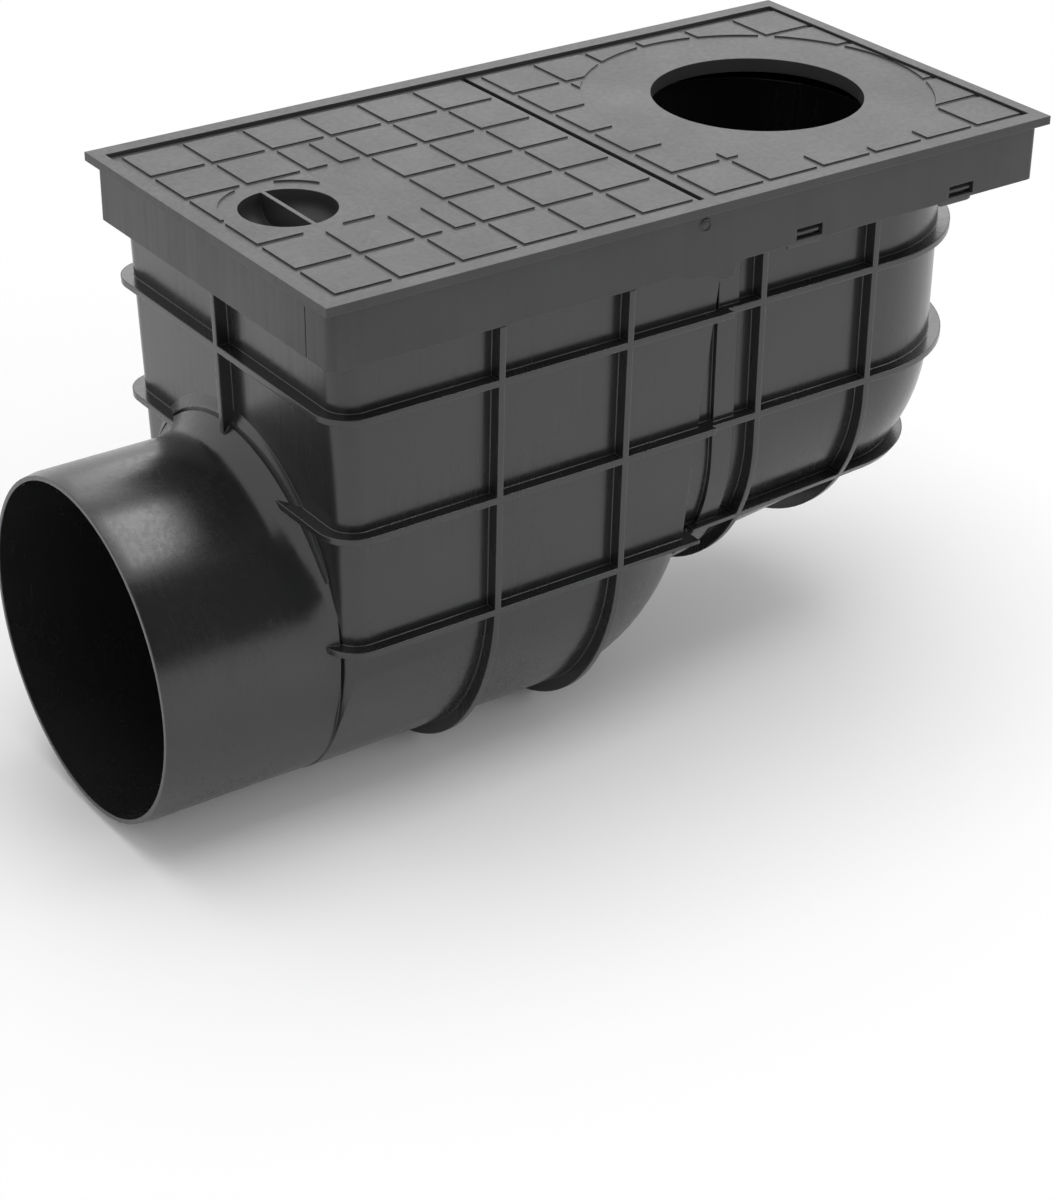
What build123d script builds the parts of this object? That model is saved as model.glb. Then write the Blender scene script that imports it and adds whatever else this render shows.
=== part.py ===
from build123d import *
from math import cos, hypot, radians, sin, sqrt, tan
import os

os.makedirs("parts", exist_ok=True)

# A rainwater gully of moulded plastic, in millimetres and degrees.
# It stands on Z = 0. The outlet spigot points along -X, the downpipe enters at the +X end.

# Outlet spigot
outlet_diameter = 160.0
outlet_wall = 3.0
outlet_axis_z = 83.5
outlet_reach = 69.5  # how far the spigot stands out past the rim
mouth_chamfer_length = 6.0
mouth_chamfer_depth = 1.0
saddle_rise = 18.0  # how far the blend climbs the end wall above the spigot
saddle_spread = 3.0
saddle_length = 20.0
saddle_sink = 0.6  # how far the blend starts inside the spigot
saddle_bend = 0.2  # share of the climb reached half way along
root_spread = 0.5  # the spigot widens this much over its last stretch

# Front chamber
shoulder_spread = 9.0  # how much wider the chamber is than the spigot, each side
shoulder_rise = 22.5  # from the outlet axis up to where the sides turn straight
shoulder_overlap = 8.0
bottom_spread = 1.2  # how much larger the chamber's round bottom is than the spigot
bottom_lift = 0.5
block_height = 143.0  # from the lowest rib to the deck
draft = 1.4
wall = 3.0
corner_radius = 11.5
end_overhang = 10.0  # rim past the end wall
step_from_front = 202.0
step_rise = 99.0  # where the step's place is measured, above the lowest rib
step_lean = 5.8
trough_end_from_front = 151.0

# Rear chamber
rear_step_in = 1.5  # how much narrower than the front chamber, each side
rear_arc_rise = 51.3  # centre of the round bottom at the rear, above the lowest rib
rear_slope = 6.2  # fall of the rear chamber's bottom towards the front
rear_corner_radius = 70.0
rear_overhang = 11.5

# Ribs
rib_depth = 6.0
rib_thickness = 3.0
rib_pitch = 55.75
rib_levels = 3
front_ribs_from_front = (86.5, 153.0)
rib_behind_step = 27.5
rib_from_rear = 93.5
end_rib_offset = -1.0
keel_length = 50.0
keel_depth = 40.0

# Deck, collar and snap teeth
deck_thickness = 3.0
deck_depth = 25.0  # deck below the rim's top
collar_wall = 2.5
collar_clearance = 0.4
tooth_gap = 0.3
tooth_side_gap = 1.5
tooth_low_gap = 2.0
tooth_reach = 2.0

# Top frame
rim_length = 388.0
rim_overhang = 9.5
rim_thickness = 4.0
rim_step = 3.5  # rim edge out from the skirt
rim_end_land = 6.0  # rim face beside the lids, at the ends
rim_side_land = 8.0
lid_seat_depth = 6.0
ledge_width = 5.0
ledge_thickness = 3.0
skirt_depth = 30.5
skirt_wall = 2.5
skirt_corner_radius = 4.0
window_behind_step = 40.0
window_from_rear = 56.5
window_length = 14.8
window_height = 5.5
window_above_edge = 1.5
slit_offset = 79.7
slit_width = 0.8
slit_depth = 0.8
slit_start_depth = 8.0
tab_from_front = 177.5
tab_length = 35.0
tab_step_depth = 3.4
tab_depth = 7.4
tab_step_length = 22.0
tab_foot_length = 8.0

# Cross bar
bar_from_front = 190.6
bar_width = 20.0
bar_height = 8.0
peg_radius = 2.5
peg_clearance = 0.1
peg_axis_depth = 9.7
bar_clearance = 0.3

# Lids
lid_clearance = 0.4
lid_top_depth = 1.0
tile_height = 0.8
seam_from_front = 194.5
seam_gap = 3.0
tile_size = 26.5
tile_pitch = 30.4
tile_rows = 6
tile_edge_land = 5.5
split_tile_width = 10.0
cup_from_front = 43.5
cup_radius = 21.5
cup_depth = 12.0
cup_bottom_fillet = 8.0
cup_wall = 2.0
cup_ring_radius = 30.0
cup_bar_width = 2.0
downpipe_from_rear = 90.0
downpipe_radius = 50.0
plain_disc_radius = 83.0
downpipe_tile_land = 6.5
downpipe_collar_wall = 3.0
downpipe_collar_depth = 2.5

# Odour trap
groove_depth = 2.5
panel_behind_step = 7.5
panel_thickness = 6.0
panel_side_play = 0.3
panel_edge_play = 0.4
panel_above_deck = 1.0
window_half = 65.0
window_top_fillet = 15.0
window_top_rise = 72.0  # window top above the centre of its round bottom
seat_width = 8.0
seal_width = 6.0
seal_thickness = 2.0
seal_running_gap = 0.25
flap_thickness = 3.0
flap_neck_half = 48.0
hinge_above_step_mark = 27.0
barrel_radius = 4.0
pin_radius = 2.0
pin_clearance = 0.05
ear_thickness = 4.0
ear_gap = 1.0
ear_radius = 4.5
pin_head_radius = 3.5
pin_head_thickness = 1.5
pin_end_play = 0.3

# Leaf basket
basket_front_gap = 8.5
basket_side_gap = 3.0
basket_draft = 3.5
basket_depth = 125.0
basket_wall = 2.0
basket_floor = 2.5
basket_flange_overlap = 2.5
basket_flange_thickness = 2.5
basket_corner = 9.0
slot_width = 4.0
slot_pitch = 12.0
slot_height = 36.0
slot_row_gap = 8.0
side_slot_margin = 60.0  # length of the basket's side left without slots
end_slots = 7
floor_slot_length = 90.0
floor_slot_pitch = 10.8
first_floor_slot = 18.6
slots_above_floor = 8.0
handle_radius = 2.5
handle_thickness = 5.0
handle_strip = 4.0
handle_foot_share = 0.7  # share of the bail's half width that hangs lowest
handle_from_rear = 94.0
handle_drop = 20.0  # pivot below the deck
handle_arch = 31.5
handle_bend = 5.0
handle_side_gap = 3.8
handle_play = 0.1
handle_end_reach = 1.2

# Places along X, worked out from the rim and the spigot
total_length = rim_length + outlet_reach
rim_front = outlet_reach - total_length / 2
rim_rear = rim_front + rim_length
mouth_x = -total_length / 2
seam_x = rim_front + seam_from_front
step_x = rim_front + step_from_front
trough_end_x = rim_front + trough_end_from_front
rear_wall_x = rim_rear - rear_overhang
corner_x = rear_wall_x - rear_corner_radius
bar_x = rim_front + bar_from_front
cup_x = rim_front + cup_from_front
downpipe_x = rim_rear - downpipe_from_rear
panel_x = step_x + panel_behind_step
handle_x = rim_rear - handle_from_rear
rib_places = [rim_front + place for place in front_ribs_from_front]
rib_places += [step_x + rib_behind_step, rim_rear - rib_from_rear]
window_places = (step_x + window_behind_step, rim_rear - window_from_rear)

# Levels, worked out from the outlet axis upward
outlet_radius = outlet_diameter / 2
shoulder_z = outlet_axis_z + shoulder_rise
block_z = shoulder_z - shoulder_overlap
deck_z = block_z + block_height
top_z = deck_z + deck_depth
skirt_z = top_z - skirt_depth
seat_z = top_z - lid_seat_depth
collar_z = seat_z - ledge_thickness
lid_face_z = top_z - lid_top_depth - tile_height
rear_arc_z = block_z + rear_arc_rise
rear_fall = tan(radians(rear_slope))
window_z = rear_arc_z - (corner_x - panel_x) * rear_fall
step_mark_z = block_z + step_rise
peg_z = top_z - peg_axis_depth
peg_notch = 2 * (peg_radius + collar_clearance)
basket_floor_z = deck_z - basket_depth
handle_z = deck_z - handle_drop

# Half widths, worked out from the spigot outward
bottom_radius = outlet_radius + bottom_spread
bottom_axis_z = outlet_axis_z + bottom_lift
shoulder_drop = shoulder_z - bottom_axis_z
front_half = outlet_radius + shoulder_spread
front_half_deck = front_half + block_height * tan(radians(draft))
rim_half = front_half_deck + rim_overhang
rear_half = front_half - rear_step_in
corner_y = rear_half - rear_corner_radius
end_wall_x = rim_front + end_overhang + block_height * tan(radians(draft))
shoulder_radius = (front_half ** 2 + shoulder_drop ** 2 - bottom_radius ** 2) / (2 * (front_half - bottom_radius))
rim_centre_x = (rim_front + rim_rear) / 2
skirt_length = rim_length - 2 * rim_step
skirt_width = 2 * (rim_half - rim_step)
recess_length = rim_length - 2 * rim_end_land
recess_width = 2 * (rim_half - rim_side_land)
collar_length = skirt_length - 2 * (skirt_wall + collar_clearance)
collar_width = skirt_width - 2 * (skirt_wall + collar_clearance)

# The leaning plane of the step is also the plane of the trap's seat. Its normal looks forward and up.
lean = radians(step_lean)
seat_plane = Plane(origin=(step_x, 0, step_mark_z), x_dir=(0, 1, 0), z_dir=(-cos(lean), 0, sin(lean)))


def export_piece(builder, name):
    """Label a finished piece and write its file."""
    builder.part.label = name
    export_step(builder.part, f"parts/{name}.step")


def shoulder_points(grow):
    """Points of the half outline below the shoulder: wall, middle of shoulder arc, tangent point, bottom."""
    centre_y = front_half - shoulder_radius
    radius = shoulder_radius + grow
    reach = hypot(centre_y, shoulder_drop)
    down = shoulder_drop * radius / reach
    across = -centre_y * radius / reach
    scale = radius / hypot((radius + across) / 2, down / 2)
    tangent = (centre_y + across, shoulder_z - down)
    middle = (centre_y + (radius + across) / 2 * scale, shoulder_z - down / 2 * scale)
    return (front_half + grow, shoulder_z), middle, tangent, (0, bottom_axis_z - bottom_radius - grow)


def front_upper(grow):
    """Upper block of the front chamber, grown outward, from the lowest rib to the deck."""
    low = block_z + max(0, -grow)
    spread = (low - block_z) * tan(radians(draft))
    start = end_wall_x - grow - spread
    length = step_x + 2 * corner_radius + 2 * abs(grow) + block_height * tan(lean) - start
    with BuildPart() as block:
        with BuildSketch(Plane.XY.offset(low)):
            with Locations((start + length / 2, 0)):
                Rectangle(length, 2 * (front_half + grow + spread))
        extrude(amount=deck_z - low, taper=-draft)
        fillet(upright_edges(block).sort_by(Axis.X)[:2], corner_radius + grow)
        split(bisect_by=seat_plane.offset(-grow), keep=Keep.TOP)
    return block.part


def front_trough(grow):
    """Round lower part of the front chamber with its rounded rear end, grown outward."""
    wall_point, middle, tangent, bottom = shoulder_points(grow)
    start = end_wall_x - grow
    length = trough_end_x - start
    low_z = bottom[1]
    round_z = block_z + max(0, -grow)
    half_top = shoulder_half(grow, round_z)
    arc_z = (round_z + tangent[1]) / 2
    with BuildPart() as trough:
        with BuildSketch(Plane.YZ.offset(start)):
            with BuildLine():
                Polyline((-wall_point[0], shoulder_z), wall_point)
                ThreePointArc(wall_point, middle, tangent)
                ThreePointArc(tangent, bottom, (-tangent[0], tangent[1]))
                ThreePointArc((-tangent[0], tangent[1]), (-middle[0], middle[1]), (-wall_point[0], shoulder_z))
            make_face()
        extrude(amount=length)
        turned = shoulder_radius + grow
        arc_half = shoulder_half(grow, arc_z)
        bottom_side = (tangent[0] / 2, bottom_axis_z - sqrt((bottom_radius + grow) ** 2 - tangent[0] ** 2 / 4))
        round_plane = Plane(origin=(trough_end_x, 0, 0), x_dir=(0, -1, 0), z_dir=(-1, 0, 0))
        with BuildSketch(round_plane):
            with BuildLine():
                Polyline((0, low_z), (0, round_z), (half_top, round_z))
                ThreePointArc((half_top, round_z), (arc_half, arc_z), tangent)
                ThreePointArc(tangent, bottom_side, bottom)
            make_face()
        revolve(axis=Axis((trough_end_x, 0, 0), (0, 0, 1)), revolution_arc=180)
        plan_length = length + 2 * turned
        with BuildPart(mode=Mode.INTERSECT) as plan:
            with BuildSketch(Plane.XY.offset(shoulder_z)):
                with Locations((start + plan_length / 2, 0)):
                    Rectangle(plan_length, 2 * (front_half + grow))
            extrude(amount=low_z - shoulder_z - 1, taper=draft)
            fillet(upright_edges(plan).sort_by(Axis.X)[:2], corner_radius + grow)
    return trough.part


def upright_edges(builder):
    """Edges of a drafted block that climb from its lower face to its upper one."""
    height = builder.part.bounding_box().size.Z
    return builder.edges().filter_by(lambda edge: abs(edge.bounding_box().size.Z - height) < 0.01)


def shoulder_half(grow, level):
    """Half width of the shoulder arc at a level below the shoulder."""
    return front_half - shoulder_radius + sqrt((shoulder_radius + grow) ** 2 - (shoulder_z - level) ** 2)


def rear_outline(grow, arc_z, top):
    """Half outline of the rear chamber outside its corner line, from the top down."""
    radius = rear_half + grow
    middle_y = (radius + corner_y) / 2
    upper = (radius - corner_y, top)
    side = (radius - corner_y, arc_z)
    middle = (middle_y - corner_y, arc_z - sqrt(radius ** 2 - middle_y ** 2))
    low = (0, arc_z - sqrt(radius ** 2 - corner_y ** 2))
    return upper, side, middle, low


def rear_mass(grow, start, top=deck_z):
    """Rear chamber from a start place to its rounded rear end, grown outward."""
    upper, side, middle, low = rear_outline(grow, rear_arc_z, top)
    fall = radians(rear_slope)
    with BuildPart() as mass:
        section = rear_section(grow, start, top + (corner_x - start) * rear_fall)
        extrude(section, amount=(corner_x - start) / cos(fall), dir=(cos(fall), 0, sin(fall)))
        split(bisect_by=Plane.XY.offset(top), keep=Keep.BOTTOM)
        for sign in (-1, 1):
            corner = Plane(origin=(corner_x, sign * corner_y, 0), x_dir=(0, -1, 0), z_dir=(-1, 0, 0))
            if sign > 0:
                corner = Plane(origin=(corner_x, corner_y, 0), x_dir=(1, 0, 0), z_dir=(0, -1, 0))
            with BuildSketch(corner):
                with BuildLine():
                    Polyline(low, (0, top), upper, side)
                    ThreePointArc(side, middle, low)
                make_face()
            revolve(axis=Axis((corner_x, sign * corner_y, 0), (0, 0, 1)), revolution_arc=90)
        with BuildSketch(Plane.XZ.offset(-corner_y)):
            with BuildLine():
                Polyline(shifted(low), (corner_x, top), shifted(upper), shifted(side))
                ThreePointArc(shifted(side), shifted(middle), shifted(low))
            make_face()
        extrude(amount=2 * corner_y)
    return mass.part


def shifted(point):
    """Point of the rear outline, moved out to the rear corner."""
    return (point[0] + corner_x, point[1])


def rear_section(grow, start, top):
    """Full section of the rear chamber, both sides of the middle."""
    arc_z = rear_arc_z - (corner_x - start) * rear_fall
    right = [(point[0] + corner_y, point[1]) for point in rear_outline(grow, arc_z, top)]
    left = [(-point[0], point[1]) for point in right]
    with BuildSketch(Plane.YZ.offset(start)) as section:
        with BuildLine():
            Polyline(left[1], left[0], right[0], right[1])
            ThreePointArc(*right[1:])
            Line(right[3], left[3])
            ThreePointArc(left[3], left[2], left[1])
        make_face()
    return section.sketch


def trap_outline(half):
    """Window shape of the trap: straight sides, round bottom, rounded upper corners."""
    rise = window_top_rise + half - window_half
    with BuildSketch() as outline:
        with BuildLine():
            Polyline((-half, window_z), (-half, window_z + rise), (half, window_z + rise), (half, window_z))
            ThreePointArc((half, window_z), (0, window_z - half), (-half, window_z))
        make_face()
        fillet(outline.vertices().group_by(Axis.Y)[-1], window_top_fillet + half - window_half)
    return outline.sketch


# Rib cage: the chambers grown by the rib depth, kept only in thin slabs
rib_top = skirt_z - collar_clearance
with BuildPart() as slabs:
    for index in range(rib_levels):
        with Locations((rim_centre_x, 0, block_z + index * rib_pitch)):
            Box(2 * rim_length, 2 * rim_half, rib_thickness)
    for place in rib_places:
        with Locations((place, 0, 0)):
            Box(rib_thickness, 2 * rim_half, rib_top, align=(Align.CENTER, Align.CENTER, Align.MIN))
    with Locations((end_wall_x, end_rib_offset, outlet_axis_z)):
        Box(4 * corner_radius, rib_thickness, rib_top - outlet_axis_z, align=(Align.CENTER, Align.CENTER, Align.MIN))

with BuildPart() as ribs:
    add(front_upper(rib_depth))
    add(front_trough(rib_depth))
    add(rear_mass(rib_depth, step_x))
    add(slabs.part, mode=Mode.INTERSECT)

# Body: one moulding with both chambers, the spigot, the ribs, the deck and the trap's guides
groove_width = panel_thickness + 2 * panel_side_play
with BuildPart() as guide_slab:
    with Locations((panel_x + panel_thickness / 2, 0, 0)):
        Box(groove_width + 2 * groove_depth, 2 * rim_half, deck_z, align=(Align.CENTER, Align.CENTER, Align.MIN))

with BuildPart() as groove_slab:
    with Locations((panel_x + panel_thickness / 2, 0, 0)):
        Box(groove_width, 2 * rim_half, top_z, align=(Align.CENTER, Align.CENTER, Align.MIN))

with BuildPart() as guides:
    add(rear_mass(groove_depth, step_x))
    add(guide_slab.part, mode=Mode.INTERSECT)

with BuildPart() as groove:
    add(rear_mass(groove_depth - wall, step_x, deck_z + 1))
    add(groove_slab.part, mode=Mode.INTERSECT)

with BuildPart() as spout:
    add(rear_mass(0, step_x - end_overhang - wall))
    split(bisect_by=seat_plane.offset(wall), keep=Keep.BOTTOM)

with BuildPart() as gully_body:
    add(front_upper(0))
    add(front_trough(0))
    add(rear_mass(0, step_x))
    add(ribs.part)
    with BuildSketch(Plane.XZ):
        with BuildLine():
            Polyline(
                (mouth_x, outlet_axis_z),
                (mouth_x, outlet_axis_z + outlet_radius - mouth_chamfer_depth),
                (mouth_x + mouth_chamfer_length, outlet_axis_z + outlet_radius),
                (end_wall_x - saddle_length, outlet_axis_z + outlet_radius),
                (end_wall_x + 2 * wall, outlet_axis_z + outlet_radius + root_spread),
                (end_wall_x + 2 * wall, outlet_axis_z),
                close=True,
            )
        make_face()
    revolve(axis=Axis((0, 0, outlet_axis_z), (1, 0, 0)))
    for back, share in ((saddle_length, 0), (saddle_length / 2, saddle_bend), (0, 1)):
        top_half = outlet_radius - saddle_sink + share * saddle_rise
        low_half = outlet_radius - saddle_sink * (1 + share)
        side_half = outlet_radius - saddle_sink + share * (saddle_spread + saddle_sink)
        with BuildSketch(Plane.YZ.offset(end_wall_x - back)):
            with Locations((0, outlet_axis_z + (top_half - low_half) / 2)):
                Ellipse(side_half, (top_half + low_half) / 2)
    loft()
    with Locations((trough_end_x, 0, 0)):
        Box(keel_length, rib_thickness, keel_depth, align=(Align.MIN, Align.CENTER, Align.MIN))
    with BuildSketch(Plane.XY.offset(deck_z - deck_thickness)):
        with Locations((rim_centre_x, 0)):
            RectangleRounded(collar_length, collar_width, skirt_corner_radius)
    extrude(amount=collar_z - deck_z + deck_thickness)
    with BuildSketch(Plane.XY.offset(deck_z)):
        with Locations((rim_centre_x, 0)):
            Rectangle(collar_length - 2 * collar_wall, collar_width - 2 * collar_wall)
    extrude(amount=collar_z - deck_z + 1, mode=Mode.SUBTRACT)
    add(front_upper(-wall), mode=Mode.SUBTRACT)
    add(front_trough(-wall), mode=Mode.SUBTRACT)
    add(spout.part)
    add(guides.part)
    add(rear_mass(-wall, step_x - 2 * end_overhang, deck_z + 1), mode=Mode.SUBTRACT)
    add(groove.part, mode=Mode.SUBTRACT)
    with BuildSketch(Plane.YZ.offset(mouth_x)):
        with Locations((0, outlet_axis_z)):
            Circle(outlet_radius - outlet_wall)
    extrude(amount=end_wall_x + 4 * wall - mouth_x, mode=Mode.SUBTRACT)

    for side in (-1, 1):
        with Locations((bar_x, side * rim_half, peg_z)):
            Box(peg_notch, 4 * rim_side_land, peg_notch, mode=Mode.SUBTRACT)
        tooth_side = Plane(origin=(0, 0, 0), x_dir=(0, side, 0), z_dir=(side, 0, 0))
        for place in window_places:
            tooth_start = place + tooth_gap
            tooth_length = window_length - tooth_gap - tooth_side_gap
            low = skirt_z + window_above_edge + tooth_low_gap
            high = skirt_z + window_above_edge + window_height - tooth_gap
            slope_low = high - tooth_reach
            inner = collar_width / 2 - collar_wall / 2
            outer = collar_width / 2 + tooth_reach
            slope_in = outer - tooth_reach
            with BuildSketch(tooth_side.offset(side * tooth_start)):
                with BuildLine():
                    Polyline((inner, low), (outer, low), (outer, slope_low), (slope_in, high), (inner, high), close=True)
                make_face()
            extrude(amount=side * tooth_length)

# Top frame: rim, lid seat and skirt in one moulding
with BuildPart() as top_frame:
    with BuildSketch(Plane.XY.offset(top_z)):
        with Locations((rim_centre_x, 0)):
            Rectangle(rim_length, 2 * rim_half)
    extrude(amount=-rim_thickness)
    with BuildSketch(Plane.XY.offset(skirt_z)):
        with Locations((rim_centre_x, 0)):
            RectangleRounded(skirt_length, skirt_width, skirt_corner_radius)
    extrude(amount=top_z - rim_thickness - skirt_z)
    with BuildSketch(Plane.XY.offset(seat_z)):
        with Locations((rim_centre_x, 0)):
            Rectangle(recess_length, recess_width)
    extrude(amount=lid_seat_depth, mode=Mode.SUBTRACT)
    with BuildSketch(Plane.XY.offset(collar_z)):
        with Locations((rim_centre_x, 0)):
            Rectangle(recess_length - 2 * ledge_width, recess_width - 2 * ledge_width)
    extrude(amount=ledge_thickness, mode=Mode.SUBTRACT)
    with BuildSketch(Plane.XY.offset(collar_z)):
        with Locations((rim_centre_x, 0)):
            RectangleRounded(skirt_length - 2 * skirt_wall, skirt_width - 2 * skirt_wall, skirt_corner_radius)
    extrude(amount=skirt_z - collar_z, mode=Mode.SUBTRACT)
    for side in (-1, 1):
        skirt_face = Plane(origin=(0, side * skirt_width / 2, 0), x_dir=(1, 0, 0), z_dir=(0, -1, 0))
        tab_start = rim_front + tab_from_front
        with BuildSketch(skirt_face):
            with BuildLine():
                Polyline(
                    (tab_start, skirt_z + window_above_edge),
                    (tab_start, skirt_z),
                    (tab_start + tab_step_depth, skirt_z - tab_step_depth * 0.7),
                    (tab_start + tab_step_length - 2 * tab_step_depth, skirt_z - tab_step_depth),
                    (tab_start + tab_step_length, skirt_z - tab_depth),
                    (tab_start + tab_step_length + tab_foot_length, skirt_z - tab_depth),
                    (tab_start + tab_length - tab_step_depth, skirt_z - tab_step_depth / 2),
                    (tab_start + tab_length, skirt_z),
                    (tab_start + tab_length, skirt_z + window_above_edge),
                    close=True,
                )
            make_face()
        extrude(amount=side * skirt_wall)
        for place in window_places:
            window_middle_z = skirt_z + window_above_edge + window_height / 2
            with Locations((place + window_length / 2, side * skirt_width / 2, window_middle_z)):
                Box(window_length, 3 * skirt_wall, window_height, mode=Mode.SUBTRACT)
    with Locations(Location((bar_x, 0, peg_z), (90, 0, 0))):
        Cylinder(peg_radius + peg_clearance, 3 * rim_half, mode=Mode.SUBTRACT)
    with Locations((rim_centre_x - skirt_length / 2, -slit_offset, (top_z - slit_start_depth + skirt_z) / 2)):
        Box(2 * slit_depth, slit_width, top_z - slit_start_depth - skirt_z, mode=Mode.SUBTRACT)

# Cross bar: carries both lids under their seam, held by a round peg at each end
bar_length = recess_width - 2 * (ledge_width + bar_clearance)
with BuildPart() as cross_bar:
    with Locations((bar_x, 0, seat_z)):
        Box(bar_width, bar_length, bar_height, align=(Align.CENTER, Align.CENTER, Align.MAX))
    with Locations(Location((bar_x, 0, peg_z), (90, 0, 0))):
        Cylinder(peg_radius, skirt_width)
    with Locations((bar_x, 0, seat_z - wall - bar_height)):
        Box(bar_width - 2 * wall, recess_width - 6 * ledge_width, 2 * bar_height, mode=Mode.SUBTRACT)


def tile_starts(first, size=tile_size):
    """First edge of each tile in a row."""
    return [first + index * tile_pitch for index in range(tile_rows)]


# Inspection lid: plate, raised tiles, finger cup with a bar
lid_front = rim_centre_x - recess_length / 2 + lid_clearance
lid_rear = rim_centre_x + recess_length / 2 - lid_clearance
lid_width = recess_width - 2 * lid_clearance
tile_field = (tile_rows - 1) * tile_pitch + tile_size
cup_cells = ((2, 0), (2, 1), (3, 0), (3, 1))
plain_cells = ((2, 2), (3, 2))
split_cells = ((1, 2), (4, 2))
inspection_length = seam_x - seam_gap / 2 - lid_front
with BuildPart() as inspection_lid:
    with Locations((lid_front, 0, seat_z)):
        Box(inspection_length, lid_width, lid_face_z - seat_z, align=(Align.MIN, Align.CENTER, Align.MIN))
    with BuildSketch(Plane.XY.offset(lid_face_z)):
        for row, tile_y in enumerate(tile_starts(-tile_field / 2)):
            for column, tile_x in enumerate(tile_starts(lid_front + tile_edge_land)):
                if (row, column) in plain_cells:
                    continue
                if (row, column) in split_cells:
                    for start in (0, tile_size - split_tile_width):
                        with Locations((tile_x + start, tile_y)):
                            Rectangle(split_tile_width, tile_size, align=(Align.MIN, Align.MIN))
                    continue
                with Locations((tile_x, tile_y)):
                    Rectangle(tile_size, tile_size, align=(Align.MIN, Align.MIN))
        with Locations((cup_x, 0)):
            Circle(cup_ring_radius, mode=Mode.SUBTRACT)
    extrude(amount=tile_height)
    with Locations((cup_x, 0, lid_face_z - cup_depth - cup_wall)):
        Cylinder(cup_radius + cup_wall, cup_depth, align=(Align.CENTER, Align.CENTER, Align.MIN))
    with BuildPart(mode=Mode.PRIVATE) as bowl:
        with Locations((cup_x, 0, lid_face_z - cup_depth)):
            Cylinder(cup_radius, 2 * cup_depth, align=(Align.CENTER, Align.CENTER, Align.MIN))
        fillet(bowl.edges().group_by(Axis.Z)[0], cup_bottom_fillet)
    add(bowl.part, mode=Mode.SUBTRACT)
    with Locations((cup_x, 0, lid_face_z)):
        cup_bar_height = cup_depth + cup_wall / 2
        Box(cup_bar_width, 2 * cup_radius + cup_wall, cup_bar_height, align=(Align.CENTER, Align.CENTER, Align.MAX))

# Downpipe lid: plate with the downpipe's hole, a plain disc round it and tiles outside the disc
downpipe_start = seam_x + seam_gap / 2
with BuildPart() as downpipe_lid:
    with Locations((downpipe_start, 0, seat_z)):
        Box(lid_rear - downpipe_start, lid_width, lid_face_z - seat_z, align=(Align.MIN, Align.CENTER, Align.MIN))
    with BuildSketch(Plane.XY.offset(lid_face_z)):
        for tile_y in tile_starts(-tile_field / 2):
            for tile_x in tile_starts(downpipe_start + downpipe_tile_land):
                with Locations((tile_x, tile_y)):
                    Rectangle(tile_size, tile_size, align=(Align.MIN, Align.MIN))
        with Locations((downpipe_start, 0)):
            Rectangle(lid_rear - downpipe_start, lid_width, align=(Align.MIN, Align.CENTER), mode=Mode.INTERSECT)
        with Locations((downpipe_x, 0)):
            Circle(plain_disc_radius, mode=Mode.SUBTRACT)
    extrude(amount=tile_height)
    with Locations((downpipe_x, 0, seat_z)):
        collar_radius = downpipe_radius + downpipe_collar_wall
        Cylinder(collar_radius, downpipe_collar_depth, align=(Align.CENTER, Align.CENTER, Align.MAX))
    with Locations((downpipe_x, 0, seat_z)):
        Cylinder(downpipe_radius, 4 * lid_seat_depth, mode=Mode.SUBTRACT)

# Trap frame: panel that stands in the guides, with the window's snout and the flap's ears
hinge = seat_plane.offset(seal_thickness + seal_running_gap + flap_thickness / 2)
hinge_centre = hinge.origin + Vector(tan(lean), 0, 1) * hinge_above_step_mark
ear_inner = flap_neck_half + ear_gap
ear_outer = ear_inner + ear_thickness
panel_grow = groove_depth - wall - panel_edge_play
with BuildPart() as trap_frame:
    panel_face = rear_section(panel_grow, panel_x + panel_thickness, deck_z + panel_above_deck)
    extrude(panel_face, amount=-panel_thickness)
    with BuildSketch(Plane.YZ.offset(panel_x)):
        add(trap_outline(window_half + seat_width))
    extrude(amount=-6 * panel_thickness)
    split(bisect_by=seat_plane, keep=Keep.BOTTOM)
    for side in (-1, 1):
        with BuildSketch(Plane.XZ.offset(-side * (ear_inner + ear_outer) / 2)):
            with Locations((hinge_centre.X, hinge_centre.Z)):
                Circle(ear_radius)
            with Locations((hinge_centre.X, hinge_centre.Z)):
                ear_length = panel_x + panel_thickness / 2 - hinge_centre.X
                Rectangle(ear_length, 2 * ear_radius, align=(Align.MIN, Align.CENTER))
        extrude(amount=ear_thickness / 2, both=True)
    with BuildSketch(Plane.YZ.offset(panel_x + 2 * panel_thickness)):
        add(trap_outline(window_half))
    extrude(amount=-9 * panel_thickness, mode=Mode.SUBTRACT)
    with Locations(Location(tuple(hinge_centre), (90, 0, 0))):
        Cylinder(pin_radius + pin_clearance, 2 * ear_outer + 2, mode=Mode.SUBTRACT)

# Seal: rubber ring on the leaning seat
with BuildPart() as flap_seal:
    with BuildSketch(Plane.YZ.offset(panel_x)):
        add(trap_outline(window_half + (seat_width + seal_width) / 2))
        add(trap_outline(window_half + (seat_width - seal_width) / 2), mode=Mode.SUBTRACT)
    extrude(amount=-6 * panel_thickness)
    split(bisect_by=seat_plane, keep=Keep.TOP)
    split(bisect_by=seat_plane.offset(seal_thickness), keep=Keep.BOTTOM)

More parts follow.
